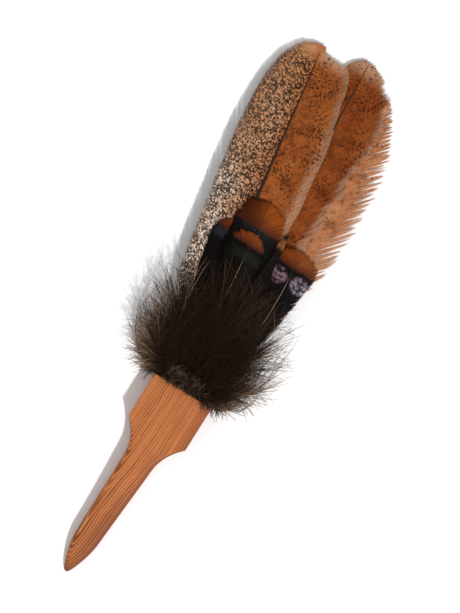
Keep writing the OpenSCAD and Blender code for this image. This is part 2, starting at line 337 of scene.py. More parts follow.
def shaft_paint(name, low_colour, high_colour, change_at, down_shade=0.0):
    """Horny shaft. Its colour changes at a distance back from the tip. The last argument sets how much
    painted shade darkens the part among the down."""
    paint = Paint(name, 0.4, Specular_IOR_Level=0.2)
    across, back, _ = paint.attribute("reach")
    streak = paint.noise(across, paint.maths("MULTIPLY", back, 0.05), scale=2.2, detail=3)
    colour = paint.blend(paint.span(back, change_at * 0.55, change_at), high_colour, low_colour)
    # painted shade: the shaft darkens towards its base, where it runs among the down
    down_shade_mask = paint.span(back, change_at + 22, change_at + 48, 0.0, down_shade)
    colour = paint.blend(down_shade_mask, colour, rgb(34, 25, 19))
    colour = paint.blend(paint.span(streak, 0.4, 0.75, 0.0, 0.45), colour, rgb(20, 14, 11))
    return paint.finish(colour, paint.span(streak, 0.3, 0.7, 0.32, 0.5), streak, depth=0.00005)


def mottled_paint(name):
    """Cream to tan barbs closely covered with wormy black-brown marks, plain tan at the very tip."""
    paint = Paint(name, 0.62, Specular_IOR_Level=0.08)
    root, out, edge = paint.attribute("vane")
    across, back, chance = paint.attribute("reach")
    jog = paint.maths("MULTIPLY_ADD", chance, 0.7, back)
    worm = paint.noise(paint.maths("MULTIPLY", across, 0.6), jog, scale=0.46, detail=1.8, distortion=0.6)
    fleck = paint.noise(across, jog, 31.0, scale=0.66, detail=1.5)
    marks = paint.maths("MAXIMUM", paint.band(worm, 0.43, 0.55, 0.025), paint.span(fleck, 0.53, 0.60))
    warm = paint.noise(across, back, 7.0, scale=0.035, detail=2)
    tan = paint.maths("ADD", paint.span(edge, 0.0, 0.8, 0.1, -0.06), paint.span(back, 110, 200, 0.08, -0.14))
    tan = paint.maths("ADD", tan, paint.maths("MULTIPLY_ADD", warm, 0.5, 0.25))
    base = paint.ramp(tan, (0.34, rgb(238, 220, 204)), (0.52, rgb(204, 160, 126)), (0.72, rgb(174, 116, 72)))
    base = paint.blend(paint.span(back, 12, 110, 0.85, 0.0), base, rgb(188, 128, 80))
    by_shaft = paint.span(paint.maths("ABSOLUTE", across), 2.0, 9.0, 0.55, 0.0)
    base = paint.blend(by_shaft, base, rgb(160, 90, 46))
    clear = paint.maths("MULTIPLY", paint.span(back, 5, 17), paint.span(edge, 0.965, 1.0, 1.0, 0.45))
    dark = paint.blend(paint.span(warm, 0.4, 0.6), rgb(30, 19, 13), rgb(48, 30, 20))
    dark = paint.blend(paint.span(edge, 0.4, 1.0, 0.0, 0.6), dark, rgb(92, 70, 56))
    colour = paint.blend(paint.maths("MULTIPLY", paint.maths("MULTIPLY", marks, clear), 0.96), base, dark)
    return paint.finish(colour, paint.span(chance, 0.0, 1.0, 0.52, 0.7))


def rufous_paint(name, deep, light, margin_colour, margin_low, margin_high, length, specks):
    """Orange-brown barbs with small black specks and a paler margin, wider low down.
    margin_low and margin_high are where the margin starts, as parts of a barb's length."""
    paint = Paint(name, 0.6, Specular_IOR_Level=0.08)
    root, out, edge = paint.attribute("vane")
    across, back, chance = paint.attribute("reach")
    cloud = paint.noise(across, back, 3.0, scale=0.06, detail=3)
    streak = paint.noise(root, paint.maths("MULTIPLY", out, 0.12), 5.0, scale=0.9, detail=2)
    base = paint.ramp(cloud, (0.30, deep), (0.52, paint_mid(deep, light)), (0.72, light))
    base = paint.blend(paint.span(streak, 0.35, 0.7, 0.0, 0.3), base, light)
    base = paint.blend(paint.span(back, 0.35 * length, 0.8 * length, 0.0, 0.5), base, light)
    blotch = paint.noise(across, paint.maths("MULTIPLY", back, 0.7), 29.0, scale=0.22, detail=3, rough=0.65)
    base = paint.blend(paint.span(blotch, 0.46, 0.68, 0.0, 0.5), base, rgb(72, 32, 10))
    base = paint.blend(paint.span(blotch, 0.30, 0.46, 0.45, 0.0), base, light)
    start = paint.span(back, 0.1 * length, 0.75 * length, margin_high, margin_low)
    ragged = paint.maths("MULTIPLY_ADD", paint.maths("SUBTRACT", blotch, 0.5), 0.35, edge)
    margin = paint.span(paint.maths("SUBTRACT", ragged, start), -0.12, 0.2)
    base = paint.blend(paint.maths("MULTIPLY", margin, 0.45), base, margin_colour)
    base = paint.blend(paint.span(edge, 0.94, 1.0, 0.0, 0.7), base, margin_colour)
    base = paint.blend(paint.span(back, 2, 18, 0.45, 0.0), base, margin_colour)
    jog = paint.maths("MULTIPLY_ADD", chance, 0.5, back)
    speck = paint.noise(across, jog, 11.0, scale=0.56, detail=2, rough=0.6)
    herd = paint.noise(across, back, 17.0, scale=0.05, detail=1)
    limit = paint.span(herd, 0.35, 0.65, specks + 0.03, specks - 0.05)
    marks = paint.span(paint.maths("SUBTRACT", speck, limit), 0.0, 0.035)
    marks = paint.maths("MULTIPLY", marks, paint.span(margin, 0.3, 1.0, 0.85, 0.15))
    colour = paint.blend(marks, base, rgb(34, 18, 10))
    # painted shade: barbs rooted near the base darken to near black where the down lies over them
    colour = paint.blend(paint.span(root, 45, 80, 0.9, 0.0), colour, rgb(34, 24, 18))
    return paint.finish(colour, paint.span(chance, 0.0, 1.0, 0.5, 0.68))


def covert_paint(name, tip_length, bright, deep, sheen, eye=None, sheen_back=8):
    """A short body feather: copper tip, then black with a sheen. Its copper is darker on the left.
    Lengths are in millimetres back from the tip. eye is the place of a silvery lilac spot on each
    side of the shaft: how far back, how far out, its size."""
    paint = Paint(name, 0.5, Specular_IOR_Level=0.06)
    root, out, edge = paint.attribute("vane")
    across, back, chance = paint.attribute("reach")
    aside = paint.maths("ABSOLUTE", across)
    streak = paint.noise(root, paint.maths("MULTIPLY", out, 0.1), scale=1.1, detail=2)
    jog = paint.maths("MULTIPLY_ADD", chance, 1.6, -0.8)
    line = paint.maths("ADD", back, jog)
    black = paint.blend(streak, rgb(5, 5, 5), rgb(20, 15, 12))
    glow = paint.band(back, tip_length + sheen_back - 3.5, tip_length + sheen_back + 3.5, 2.5)
    glow = paint.maths("MULTIPLY", glow, paint.span(aside, 8, 14, 0.9, 0.2))
    black = paint.blend(paint.maths("MULTIPLY", glow, paint.span(streak, 0.3, 0.6, 0.5, 1.0)), black, sheen)
    copper = paint.blend(paint.span(across, -14, 12), deep, bright)
    copper = paint.blend(paint.span(streak, 0.35, 0.7, 0.0, 0.5), copper, paint_mid(deep, rgb(30, 14, 8)))
    copper = paint.blend(paint.span(line, tip_length * 0.4, tip_length, 0.0, 0.8), copper, rgb(64, 26, 20))
    colour = paint.blend(paint.span(line, tip_length - 1.0, tip_length + 1.4), copper, black)
    if eye:
        eye_back, eye_side, eye_size = eye
        dx = paint.maths("DIVIDE", paint.maths("SUBTRACT", aside, eye_side), eye_size)
        dy = paint.maths("DIVIDE", paint.maths("SUBTRACT", line, eye_back), eye_size * 0.85)
        away = paint.maths("SQRT", paint.maths("ADD", paint.maths("MULTIPLY", dx, dx),
                                               paint.maths("MULTIPLY", dy, dy)))
        flick = paint.noise(across, back, 23.0, scale=0.34, detail=2, rough=0.6)
        silver = paint.blend(paint.span(across, -6, 10, 0.1, 0.8), rgb(150, 120, 128), rgb(182, 176, 186))
        lit = paint.ramp(flick, (0.40, rgb(64, 58, 62)), (0.52, rgb(150, 138, 142)),
                         (0.64, rgb(226, 222, 224)))
        spot = paint.blend(1.0, lit, silver, "MULTIPLY")
        colour = paint.blend(paint.span(away, 1.25, 1.5, 1.0, 0.0), colour, rgb(14, 15, 17))
        colour = paint.blend(paint.span(away, 0.7, 1.1, 1.0, 0.0), colour, spot)
    return paint.finish(colour, paint.span(chance, 0.0, 1.0, 0.36, 0.54))


def down_paint(name, dark, brown, rust_share):
    """Down that is nearly black at its roots and brown at its tips. hair is (how far out along the
    hair, its own tone from 0 to 1)."""
    paint = Paint(name, 0.8, Specular_IOR_Level=0.05)
    along, tone, _ = paint.attribute("hair")
    shade = paint.blend(paint.span(tone, 0.3, 1.0, 0.0, 0.3), dark, brown)
    tip = paint.blend(paint.span(tone, 0.1, 0.9), dark, brown)
    colour = paint.blend(paint.span(along, 0.3, 0.95), shade, tip)
    rust = paint.span(tone, 1.0 - rust_share, 1.0 - rust_share * 0.6)
    colour = paint.blend(paint.maths("MULTIPLY", rust, paint.span(along, 0.2, 0.7)), colour, rgb(78, 46, 26))
    return paint.finish(colour, paint.span(tone, 0.0, 1.0, 0.68, 0.85))


# ---- Handle ----

GRIP_W = 24.6
GRIP_END_W = 20.4
GRIP_END_T = 12.5
GRIP_SWING = 2.9
PADDLE_L = 2 * MOUTH_Y
SHOULDER_L = 32
TIP_L = 36
TIP_START = HANDLE_L - TIP_L
MORTISE = (39.2, 12.6, 30)


def handle_shape(d):
    """Half width, thickness, sideways shift and edge radius at each distance d from the mouth."""
    tip = np.clip((d - TIP_START) / TIP_L, 0, 1)
    shoulder = np.clip(1 - (d - PADDLE_L) / SHOULDER_L, 0, 1)
    grip = np.clip((d - PADDLE_L - SHOULDER_L) / (TIP_START - PADDLE_L - SHOULDER_L), 0, 1)
    tip_power = mix(0.85, 0.55, tip ** 6)
    half_w = mix(mix(GRIP_W, GRIP_END_W, grip) / 2, PADDLE_W / 2, shoulder ** 2.4)
    half_w = half_w * (1 - tip ** 2) ** tip_power
    thinning = ease((d - PADDLE_L) / (TIP_START - PADDLE_L))
    thick = mix(PADDLE_T, GRIP_END_T, thinning) * (1 - tip ** 2) ** 0.5
    half_w = np.maximum(half_w, 0.5)
    thick = np.maximum(thick, 1.0)
    shift = -GRIP_SWING * ease((d - PADDLE_L) / (HANDLE_L - PADDLE_L))
    radius = mix(5.0, 0.9, shoulder) + 5.0 * shoulder * (1 - shoulder)
    radius = np.minimum(radius, np.minimum(thick * 0.45, half_w * 0.8))
    return half_w, thick, shift, radius


def round_box(low_x, high_x, low_z, high_z, radius, steps):
    """Corner points of a rectangle with round corners, anticlockwise seen from +y towards the grip."""
    turn = np.linspace(0, math.pi / 2, steps)
    centres = ((high_x - radius, high_z - radius, 0), (low_x + radius, high_z - radius, 1),
               (low_x + radius, low_z + radius, 2), (high_x - radius, low_z + radius, 3))
    return np.concatenate([
        np.stack([cx + radius * np.cos(turn + quarter * math.pi / 2),
                  cz + radius * np.sin(turn + quarter * math.pi / 2)], axis=1)
        for cx, cz, quarter in centres])


def make_handle():
    """The handle as one closed skin: outside, the rim of the mouth and the pocket for the quills."""
    steps = 12
    sides = 4 * steps
    places = np.concatenate([
        [0.0, 0.35, 1.0], np.linspace(6, PADDLE_L, 8)[:-1],
        np.linspace(PADDLE_L, PADDLE_L + SHOULDER_L, 44)[:-1],
        mix(PADDLE_L + SHOULDER_L, HANDLE_L, np.sin(np.linspace(0, math.pi / 2, 80)))])
    half_w, thick, shift, radius = handle_shape(places)
    rim = np.array([0.5, 0.12] + [0.0] * (len(places) - 2))
    rings = []
    for k, d in enumerate(places):
        half = half_w[k] - rim[k]
        flat = round_box(shift[k] - half, shift[k] + half, rim[k], thick[k] - rim[k], radius[k], steps)
        rings.append(np.stack([flat[:, 0], np.full(sides, -d), flat[:, 1]], axis=1))
    width, height, depth = MORTISE
    pocket = round_box(-width / 2, width / 2, MID_Z - height / 2, MID_Z + height / 2,
                       height / 2 - 0.01, steps)
    for inside, d in ((0.0, 0.0), (0.0, depth)):
        rings.insert(0, np.stack([pocket[:, 0], np.full(sides, -d), pocket[:, 1]], axis=1))
    points = np.concatenate(rings)
    faces = tube((len(rings), sides))
    return new_piece("paddle_handle", "handle", points, faces, oiled_wood())


# ---- Feathers ----

@dataclass
class Feather:
    """One feather, with the same numbers as in the CAD design. A half-width rule is (at the start,
    pull in the middle, at the end, bluntness of the tip)."""
    name: str
    quill: tuple
    bend: tuple
    tip: tuple
    tip_z: float
    arch: float
    start: float
    left: tuple
    right: tuple
    quill_r: float
    quill_in: float

    def part(self, y):
        """The curve's parameter at a distance y from the mouth."""
        a, b = self.tip[1] - 2 * self.bend[1], 2 * self.bend[1]
        y = np.clip(y, 0, self.tip[1])
        if abs(a) < 0.01:
            return y / b
        return (np.sqrt(b * b + 4 * a * y) - b) / (2 * a)

    def x(self, y):
        t = self.part(y)
        return curve3(self.quill[0], self.bend[0], self.tip[0], t)

    def z(self, y):
        s = np.clip(y / self.tip[1], 0, 1)
        return mix(self.quill[1], self.tip_z, s) + 4 * self.arch * s * (1 - s)

    def radius(self, y):
        return (self.quill_r - 0.25) * (1 - self.part(y)) ** 0.85 + 0.25

    def half_width(self, side, y):
        """How wide the vane is at y, on the left (side -1) or the right (side 1)."""
        first, pull, last, blunt = self.left if side < 0 else self.right
        u = np.clip((y - self.start) / (self.tip[1] - self.start), 0, 1)
        return curve3(first, pull, last, u) * np.sqrt(np.maximum(1 - u ** blunt, 0))


LONG_L = reach("middle_feather_shaft")
COVERT_L = reach("upper_covert_shaft")
LONG_ROW = MID_Z - 0.6
COVERT_ROW = MID_Z + 2.6
QUILL = (2.2, 28)
COVERT_QUILL = (0.9, 20)

LEFT = Feather("left_feather", (-7.5, LONG_ROW), (-29, LONG_L * 0.48), (-50.5, LONG_L * 0.97), 4.6, 9, 50,
               (32, 38, 36, 9), (14, 48, 28, 60), *QUILL)
MIDDLE = Feather("middle_feather", (0, LONG_ROW), (-5, LONG_L * 0.5), (-13, LONG_L), 2.8, 6.8, 50,
                 (10, 30, 18, 20), (14, 36, 34, 14), *QUILL)
RIGHT = Feather("right_feather", (7.5, LONG_ROW), (11, LONG_L * 0.5), (13, LONG_L * 0.94), 1.2, 4.6, 45,
                (10, 28, 16, 12), (6, 59, 22, 7), *QUILL)
UPPER = Feather("upper_covert", (-9, COVERT_ROW), (-15, COVERT_L * 0.5), (-20, COVERT_L), 18.6, 1.7, 64,
                (9, 24, 19, 22), (9, 24, 19, 26), *COVERT_QUILL)
LOWER = Feather("lower_covert", (-3.5, COVERT_ROW + 0.4), (-10, COVERT_L * 0.46), (-17, COVERT_L * 0.835),
                20.2, 2, 64, (7, 22, 17, 16), (7, 18, 12, 16), *COVERT_QUILL)
OUTER = Feather("outer_covert", (-15, COVERT_ROW), (-27, COVERT_L * 0.38), (-37, COVERT_L * 0.84),
                17.3, 1.4, 60, (6, 14, 13, 12), (6, 14, 12, 12), *COVERT_QUILL)
CENTRE = Feather("centre_covert", (2.5, COVERT_ROW), (1, COVERT_L * 0.38), (4.5, COVERT_L * 0.92),
                 17.6, 1.5, 60, (5, 11, 3, 4), (5, 10, 3, 4), *COVERT_QUILL)
RIGHT_COVERT = Feather("right_covert", (9, COVERT_ROW), (32, COVERT_L * 0.385), (20, COVERT_L * 0.88),
                       16.7, 1.3, 62, (8, 18, 18, 24), (8, 13, 22, 28), *COVERT_QUILL)


@dataclass
class Barbs:
    """How a vane's barbs grow. Lengths are in millimetres."""
    spacing: float = 0.5      # between roots along the shaft
    width: float = 0.62
    height: float = 0.3
    first: float = 18         # where the first barb grows
    lean: float = 1.0         # how far a barb runs forward for each millimetre outwards
    curl: float = 0.35        # extra lean at its outer end
    tip_lean: float = 1.4     # extra lean of the barbs near the feather's tip
    droop: float = 1.0        # how far the vane's edge hangs below the shaft
    split: float = 14         # mean distance between partings
    gap: float = 0.12         # half the width of a parting at the vane's edge
    wide_gap: float = 0.5     # the same for the few wide partings
    wide_share: float = 0.15  # how many of the partings are wide
    top: float = 0.0          # how far short of the feather's tip the vane is cut off
    tuft: float = 0.0         # how far the barbs at the tip reach over to the other side
    split_from: float = 0.35  # where along the barb a parting begins
    ragged: float = 0.01      # how unequal the barbs' lengths are
    lift: float = 0.15        # how far a clump stands up or down at its end
    points: int = 13


def parting_cells(roots, rule, rng):
    """For each barb: its place in its clump (-1 to 1), the clump's half gap and the clump's number."""
    steps = rng.uniform(0.45, 1.55, int(2 * (roots[-1] - roots[0]) / rule.split) + 8) * rule.split
    cuts = roots[0] - rule.split + np.cumsum(steps)
    cell = np.searchsorted(cuts, roots)
    low = np.concatenate([[roots[0] - rule.split], cuts])[cell]
    high = cuts[cell]
    half = (high - low) / 2
    gaps = rule.gap * rng.uniform(0.3, 1.5, len(cuts) + 1)
    wide = rng.random(len(cuts) + 1) < rule.wide_share
    gaps = np.where(wide, rule.wide_gap * rng.uniform(0.6, 1.4, len(cuts) + 1), gaps)
    return (roots - (low + high) / 2) / half, np.minimum(gaps[cell], half * 0.75), cell


def make_vane(feather, sides, rule, material, node):
    """A vane as rows of separate barbs, each a thin closed blade that ends on the outline. sides
    holds -1 for the barbs left of the shaft and 1 for those right of it."""
    name = f"{node}_barbs"
    rng = random_source(name)
    points, faces, vanes, places = [], [], [], []
    start = 0
    for side in sides:
        corners, around, vane, place = vane_arrays(feather, side, rule, rng)
        points.append(corners)
        faces += [face + start for face in around]
        vanes.append(vane)
        places.append(place)
        start += len(corners)
    piece = new_piece(name, node, np.concatenate(points), faces, material)
    add_attribute(piece, "vane", np.concatenate(vanes))
    add_attribute(piece, "reach", np.concatenate(places))
    add_flat_bake_map(piece)


def vane_arrays(feather, side, rule, rng):
    end = feather.tip[1] - rule.top
    roots = np.arange(rule.first, end * 0.992, rule.spacing)
    roots = roots + rng.uniform(-0.2, 0.2, len(roots)) * rule.spacing
    count = len(roots)
    widest = max(feather.left + feather.right) * 1.05
    growth = roots / feather.tip[1]
    lean = rule.lean * (1 + rule.tip_lean * growth ** 9) * (1 + 0.006 * rng.standard_normal(count))

    def ahead(out):
        return roots[:, None] + lean[:, None] * out * (1 + rule.curl * out / widest)

    trial = np.linspace(0, widest, 140)[None, :] * np.ones((count, 1))
    spare = feather.half_width(side, ahead(trial)) - trial
    spare = np.where(ahead(trial) >= end, -1.0, spare)
    last = np.argmax(spare < 0, axis=1)
    before = np.maximum(last - 1, 0)
    rows = np.arange(count)
    a, b = spare[rows, before], spare[rows, last]
    part = np.clip(a / np.maximum(a - b, 1e-6), 0, 1)
    length = mix(trial[rows, before], trial[rows, last], part)
    length = np.maximum(length * (1 + rule.ragged * rng.standard_normal(count)), 0.6)

    in_clump, gap, cell = parting_cells(roots, rule, rng)
    clump_length = rng.uniform(1 - 6 * rule.ragged, 1 + rule.ragged, cell.max() + 1)[cell]
    length *= clump_length * (1 - 3 * rule.ragged * in_clump ** 2)
    lift = rng.uniform(-1, 1, cell.max() + 1)[cell] * rule.lift
    part_from = rule.split_from * rng.uniform(0.7, 1.3, cell.max() + 1)[cell]

    q = np.linspace(0, 1, rule.points)[None, :]
    out = length[:, None] * q
    y = ahead(out)
    opening = np.clip((q - part_from[:, None]) / (1 - part_from[:, None]), 0, 1) ** 1.3
    y = y - in_clump[:, None] * gap[:, None] * opening
    y = np.minimum(y, end + 1.2)
    shaft_side = feather.radius(np.minimum(y, feather.tip[1]))
    over = rule.tuft * ease((roots - end * 0.94) / (end * 0.05))
    x = feather.x(y) + side * (shaft_side * 0.45 + out - over[:, None])
    z = feather.z(y) + feather.radius(roots)[:, None] * 0.3 * (1 - q)
    z = z - rule.droop * (out / widest) ** 2 + lift[:, None] * q ** 2
    z = z + 0.02 * rng.standard_normal(count)[:, None] * q
    z = z + 0.35 * np.sin(y / 17 + feather.arch) * (out / widest)
    z = np.maximum(z, 0.35)
    paths = np.stack([x, y, z], axis=2)

    taper = np.where(q > 0.86, mix(1.0, 0.3, (q - 0.86) / 0.14), 1.0) * np.ones((count, 1))
    points, faces = blades(paths, rule.width * taper, rule.height * taper, roll=side * 0.22)

    def spread(values):
        return np.repeat((values * np.ones((count, rule.points))).ravel(), 3)

    chance = rng.random(count)[:, None]
    vane = np.stack([spread(roots[:, None]), spread(out), spread(q)], axis=1)
    place = np.stack([spread(side * (shaft_side + out)), spread(feather.tip[1] - y), spread(chance)], axis=1)
    return points, faces, vane, place


def make_shaft(feather, material, fine=1.0, stop=0.99):
    """The quill and shaft: round in the wood, then squarer and thinner towards the tip. fine makes
    the part among the barbs thinner; stop is where it ends, as a part of the feather's length."""
    sides = 14
    ys = np.concatenate([[-feather.quill_in, -feather.quill_in + 0.6],
                         np.linspace(-feather.quill_in * 0.5, 0, 4),
                         feather.tip[1] * stop * np.linspace(0.02, 1, 70) ** 0.9])
    radius = feather.radius(np.maximum(ys, 0)) * mix(1.0, fine, ease(ys / 40))
    radius[0] *= 0.45
    x = np.where(ys < 0, feather.quill[0], feather.x(np.maximum(ys, 0)))
    z = np.where(ys < 0, feather.quill[1], feather.z(np.maximum(ys, 0)))
    square = 0.5 * ease(ys / 60)
    turn = np.linspace(0, 2 * math.pi, sides, endpoint=False)[None, :]
    cos, sin = np.cos(turn), np.sin(turn)
    power = 2 / (2 + 2 * square[:, None])
    px = x[:, None] + radius[:, None] * np.sign(cos) * np.abs(cos) ** power
    pz = z[:, None] + radius[:, None] * np.sign(sin) * np.abs(sin) ** power * 0.95
    pz = np.maximum(pz, 0.12)
    py = ys[:, None] * np.ones((1, sides))
    points = np.stack([px, py, pz], axis=2).reshape(-1, 3)
    faces = [face[:, ::-1] for face in tube((len(ys), sides))]
    node = f"{feather.name}_shaft"
    piece = new_piece(f"{node}_horn", node, points, faces, material)
    reach_back = np.stack([(px - x[:, None]).ravel(), (feather.tip[1] - py).ravel(), pz.ravel()], axis=1)
    add_attribute(piece, "reach", reach_back)
    return piece


# ---- Down ----

@dataclass
class Plume:
    """One down plume. angle and fan are in degrees: fan is how far its barbs swing off its own
    angle. near and fill are where its shortest and longest barbs end, as parts of the way to the
    outline. lip is the share of its barbs that lie back over the handle's lip, round lip_spot.
    glow is how light its longest barbs get."""
    name: str
    quill: tuple
    angle: float
    length: float
    rise: float
    fan: float
    barbs: int
    hairs: int
    tip_z: tuple
    bulge: float
    near: float = 0.42
    fill: float = 1.0
    glow: float = 1.0
    lip: float = 0.0
    lip_spot: tuple = (0.0, 2.5)


TONES = 64
BARB_POINTS = 11
HAIR_POINTS = 3
FAN_CENTRE = np.array([-2.5, 45.0])
FAN_RADIUS = 62.0


def fan_reach(base, direction):
    """How far it is from base, along each direction in plan, to the round outline of all the down."""
    to_centre = FAN_CENTRE - base
    nearest = direction @ to_centre
    return nearest + np.sqrt(np.maximum(FAN_RADIUS ** 2 - to_centre @ to_centre + nearest ** 2, 1.0))


def plume_hairs(plume, rng):
    """Middle lines of a plume's barbs, and of the fine side hairs on each barb."""
    count = plume.barbs
    angle = math.radians(plume.angle)
    forward = np.array([math.sin(angle), math.cos(angle)])
    base = np.array([plume.quill[0], 1.0])
    swing = angle + np.radians(plume.fan) * np.clip(rng.standard_normal(count), -2, 2)
    direction = np.stack([np.sin(swing), np.cos(swing)], axis=1)
    share = rng.random(count) ** 0.95
    far = fan_reach(base, direction) * mix(plume.near, plume.fill, share)
    far = far + np.minimum(rng.exponential(3.5, count), 11)
    tips = base + direction * far[:, None]
    tip_z = rng.uniform(*plume.tip_z, count)
    over_lip = rng.random(count) < plume.lip
    lip_spots = base + np.array(plume.lip_spot) + rng.uniform(-8, 8, (count, 2))
    tips = np.where(over_lip[:, None], lip_spots, tips)
    tip_z = np.where(over_lip, rng.uniform(19.5, 24, count), tip_z)
    along = np.minimum(rng.random(count) ** 1.3 * 0.7 * plume.length, 0.5 * far)
    along = np.where(over_lip, rng.uniform(0, 2, count), along)
    roots = base + forward * along[:, None]
    root_z = plume.quill[1] + plume.rise * (1 - (1 - along / plume.length) ** 2)
    span = np.linalg.norm(tips - roots, axis=1)
    lead = forward * 0.4 + direction * 0.6
    bends = roots + lead * (span * rng.uniform(0.35, 0.65, count))[:, None]
    bend_z = np.maximum(root_z, tip_z) + plume.bulge * rng.uniform(0.2, 1.0, count)
    q = np.linspace(0, 1, BARB_POINTS)[None, :, None]
    ends = [np.concatenate([flat, high[:, None]], axis=1)[:, None, :]
            for flat, high in ((roots, root_z), (bends, bend_z), (tips, tip_z))]
    barbs = curve3(*ends, q)
    turn = rng.uniform(0, 2 * math.pi, (count, 1))
    sway = np.sin(q[..., 0] * rng.uniform(3, 8, (count, 1)) + turn) - np.sin(turn)
    side = np.stack([direction[:, 1], -direction[:, 0], np.full(count, 0.6)], axis=1)
    barbs = barbs + side[:, None, :] * (sway * q[..., 0] * rng.uniform(0.4, 1.9, (count, 1)))[..., None]

    where = np.linspace(0.05, 0.985, plume.hairs)[None, :] + rng.uniform(-0.012, 0.012, (count, plume.hairs))
    spot = where * (BARB_POINTS - 1)
    low = spot.astype(int)
    rest = (spot - low)[..., None]
    row = np.arange(count)[:, None]
    starts = mix(barbs[row, low], barbs[row, low + 1], rest)
    ahead = barbs[row, low + 1] - barbs[row, low]
    ahead /= np.linalg.norm(ahead, axis=2, keepdims=True) + 1e-9
    spin = rng.uniform(0, 2 * math.pi, (count, plume.hairs))
    aside = np.cross(ahead, UP)
    aside /= np.linalg.norm(aside, axis=2, keepdims=True) + 1e-9
    over = np.cross(aside, ahead)
    out = aside * np.cos(spin)[..., None] + over * np.sin(spin)[..., None]
    hair_length = rng.uniform(3.0, 7.5, (count, plume.hairs)) * mix(1.0, 0.22, where)
    h = np.linspace(0, 1, HAIR_POINTS)[None, None, :, None]
    reach_out = hair_length[..., None, None] * h
    hairs = (starts[:, :, None, :] + ahead[:, :, None, :] * reach_out * (0.74 + 0.16 * h)
             + out[:, :, None, :] * reach_out * (0.6 - 0.2 * h))
    tone = plume.glow * share ** 1.4 * rng.uniform(0.5, 1.0, count)
    tone = np.where(over_lip, rng.uniform(0.1, 0.5, count), tone)
    return barbs, hairs.reshape(-1, HAIR_POINTS, 3), where.ravel(), tone


def settle(paths, floor_z, rng):
    """Keep hairs above the surface and out of the handle's wood."""
    layer = floor_z + rng.uniform(0, 1.6, paths.shape[:1])[:, None]
    low = paths[..., 2] < layer
    paths[..., 2] = np.where(low, layer + (paths[..., 2] - layer) * 0.04, paths[..., 2])
    paths[..., 2] = np.clip(paths[..., 2], 0.18, 36.5)
    in_wood = (np.abs(paths[..., 0]) < PADDLE_W / 2 + 0.4) & (paths[..., 2] < PADDLE_T + 0.4)
    paths[..., 1] = np.where(in_wood, np.maximum(paths[..., 1], 0.5), paths[..., 1])
    return paths


def hair_map(tone_rows, length):
    """Bake map for blades: along the blade one way, its tone's own row the other way."""
    count = len(tone_rows)
    q = np.linspace(0.01, 0.99, length)
    quads = np.empty((count, length - 1, 3, 4, 2))
    for k in range(3):
        near, far_side = k / 3, (k + 1) / 3
        for corner, (end, edge) in enumerate(((0, near), (1, near), (1, far_side), (0, far_side))):
            quads[:, :, k, corner, 0] = q[None, end:length - 1 + end]
            quads[:, :, k, corner, 1] = ((tone_rows + 0.15 + 0.7 * edge) / TONES)[:, None]
    ends = np.empty((count, 2, 3, 2))
    for k, (place, edge) in enumerate(((0.0, 0.2), (0.01, 0.5), (0.0, 0.8))):
        ends[:, 0, k, 0] = place
        ends[:, 1, k, 0] = 0.99 + place
        ends[:, :, k, 1] = ((tone_rows + edge) / TONES)[:, None]
    return [quads.reshape(-1, 2), ends.reshape(-1, 2)]


def make_plume(plume, material):
    rng = random_source(plume.name)
    barbs, hairs, where, tone = plume_hairs(plume, rng)
    barbs = settle(barbs, 0.4, rng)
    hairs = settle(hairs, 0.3, rng)
    quill_ys = np.array([-17.0, -16.4, -8.0, 1.0])
    reach_s = np.linspace(0.02, 0.82, 12)
    angle = math.radians(plume.angle)
    axis = np.stack([plume.quill[0] + math.sin(angle) * plume.length * reach_s,
                     1.0 + math.cos(angle) * plume.length * reach_s,
                     plume.quill[1] + plume.rise * (1 - (1 - reach_s) ** 2)], axis=1)
    stub = np.stack([np.full(4, plume.quill[0]), quill_ys, np.full(4, plume.quill[1])], axis=1)
    stem = np.concatenate([stub, axis])[None]
    stem_w = np.concatenate([[0.5, 1.2, 1.2, 1.15], np.linspace(1.0, 0.3, 12)])[None]

    barb_q = np.linspace(0, 1, BARB_POINTS)[None, :]
    barb_w = 0.4 * (1 - 0.55 * barb_q) * np.ones((len(barbs), 1))
    hair_q = np.linspace(0, 1, HAIR_POINTS)[None, :]
    hair_w = 0.17 * (1 - 0.7 * hair_q) * np.ones((len(hairs), 1))

    barb_tone = (tone * (TONES - 1)).astype(int)
    per_barb = len(hairs) // len(barbs)
    hair_tone = np.clip(np.repeat(barb_tone, per_barb) + rng.integers(-5, 6, len(hairs)), 0, TONES - 1)
    groups = (
        (stem, stem_w, stem_w, np.zeros(1, dtype=int), np.zeros((1, stem.shape[1]))),
        (barbs, barb_w, barb_w * 0.5, barb_tone, barb_q * np.ones((len(barbs), 1))),
        (hairs, hair_w, hair_w * 0.45, hair_tone, np.clip(where[:, None] * 0.85 + 0.3 * hair_q, 0, 1)),
    )
    all_points, quads, ends, quad_map, end_map, hair = [], [], [], [], [], []
    start = 0
    for paths, widths, heights, tones, along in groups:
        points, (sides, caps) = blades(paths, widths, heights)
        all_points.append(points)
        quads.append(sides + start)
        ends.append(caps + start)
        start += len(points)
        side_map, cap_map = hair_map(tones, paths.shape[1])
        quad_map.append(side_map)
        end_map.append(cap_map)
        row_tone = ((tones + 0.5) / TONES)[:, None] * np.ones(paths.shape[:2])
        facts = np.stack([along, row_tone, np.zeros(along.shape)], axis=2).reshape(-1, 3)
        hair.append(np.repeat(facts, 3, axis=0))
    piece = new_piece(f"{plume.name}_down", plume.name, np.concatenate(all_points),
                      [np.concatenate(quads), np.concatenate(ends)], material)
    add_attribute(piece, "hair", np.concatenate(hair))
    add_bake_map(piece, np.concatenate(quad_map + end_map))
    return piece


# ---- The duster ----

def paint_node(node, material):
    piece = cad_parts[node]
    piece.data.materials.clear()
    piece.data.materials.append(material)


make_handle()
paint_node("quill_glue", set_glue())
paint_node("binding_thread", waxed_thread())

